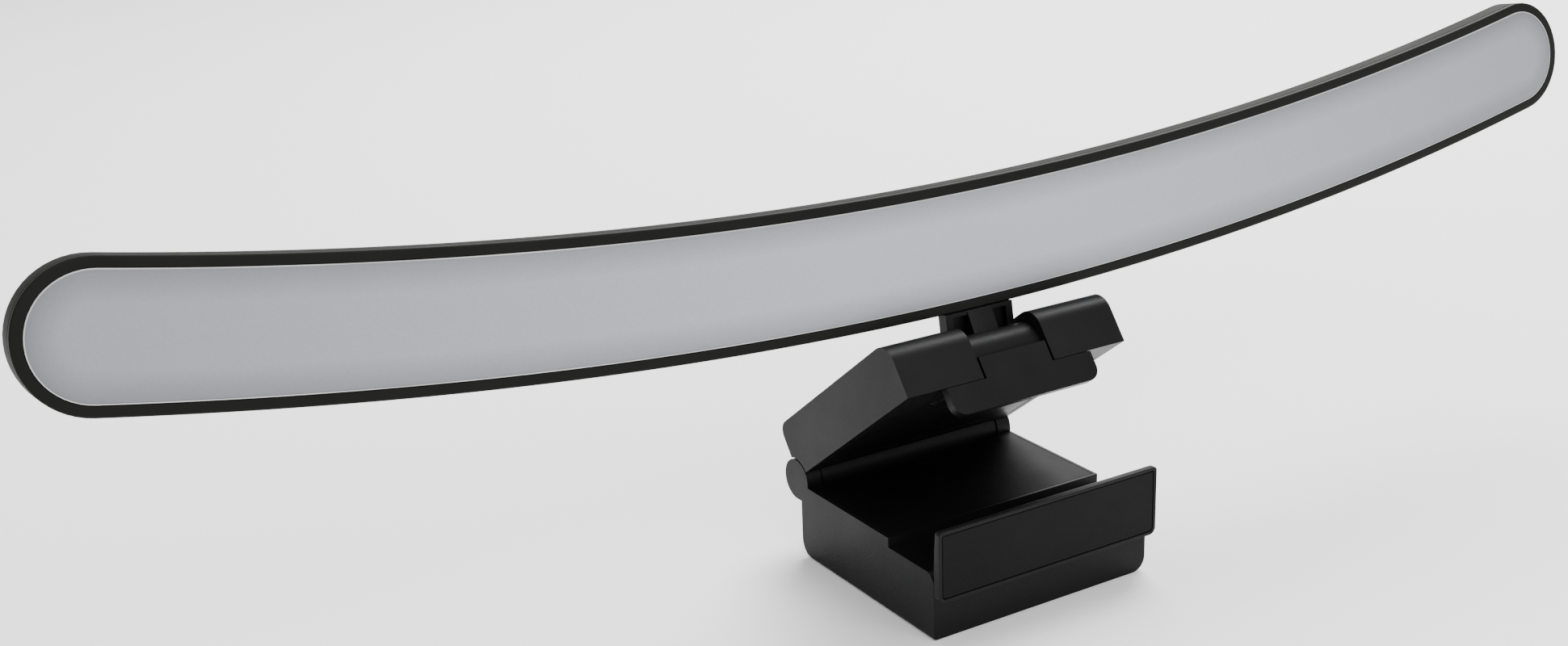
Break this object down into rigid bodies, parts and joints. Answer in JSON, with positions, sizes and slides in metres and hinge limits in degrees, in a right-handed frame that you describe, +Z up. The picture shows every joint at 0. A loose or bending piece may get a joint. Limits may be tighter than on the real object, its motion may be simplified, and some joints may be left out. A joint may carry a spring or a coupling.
{
  "type": "curved monitor light bar on folding clip",
  "caption": "Slim curved LED light bar with an opal panel, tilting on the folding clip that stands it on a desk or hooks it on a monitor.",
  "frame": {"origin": "middle of the lower arm, front to back and side to side, on the surface it stands on", "axes": "+X along the light bar, -Y the way the lit face and the hook look, +Z up"},
  "size_m": [0.4078, 0.0646, 0.1112],
  "materials": {
    "body_plastic": "satin moulded",
    "frame_plastic": "fine satin",
    "rubber_pad": "soft matt",
    "steel": "turned",
    "iron": "rough",
    "coated_steel": "satin powder coat",
    "opal": "frosted",
    "white_board": "solder mask",
    "led": "phosphor",
    "green_board": "solder mask",
    "touch_gloss": "gloss",
    "wire": "insulated"
  },
  "bodies": {
    "lower_arm": {"lower_shell": "body_plastic", "deck_pad": "rubber_pad", "lower_cover": "body_plastic", "cover_screws": "steel", "counterweight": "iron", "hinge_pin": "steel", "hinge_washers": "steel", "foot_pins": "steel"},
    "foot": {"foot_plate": "body_plastic", "foot_pad": "rubber_pad"},
    "upper_arm": {"arm_shell": "body_plastic", "arm_cover": "body_plastic", "hook_plate": "coated_steel", "hook_pad": "rubber_pad", "hook_screws": "steel", "tilt_pin": "steel", "tilt_washers": "steel"},
    "head": {"neck": "body_plastic", "neck_screws": "steel", "bar_shell": "body_plastic", "bezel": "frame_plastic", "diffuser": "opal", "led_board": "white_board", "leds": "led", "pod_cover": "body_plastic", "driver_board": "green_board", "usb_socket": "steel", "touch_strip": "touch_gloss", "link_wires": "wire"}
  },
  "joints": [
    {"name": "clip_open", "type": "hinge", "parent": "lower_arm", "child": "upper_arm", "pos_m": [0, 0.029, 0.019], "axis": [-1, 0, 0], "range_deg": [-21, 73]},
    {"name": "head_tilt", "type": "hinge", "parent": "upper_arm", "child": "head", "pos_m": [0, -0.00866, 0.05577], "axis": [1, 0, 0], "range_deg": [-24, 45]},
    {"name": "foot_fold", "type": "hinge", "parent": "lower_arm", "child": "foot", "pos_m": [0, -0.0244, 0.0128], "axis": [1, 0, 0], "range_deg": [-90, 0]}
  ]
}
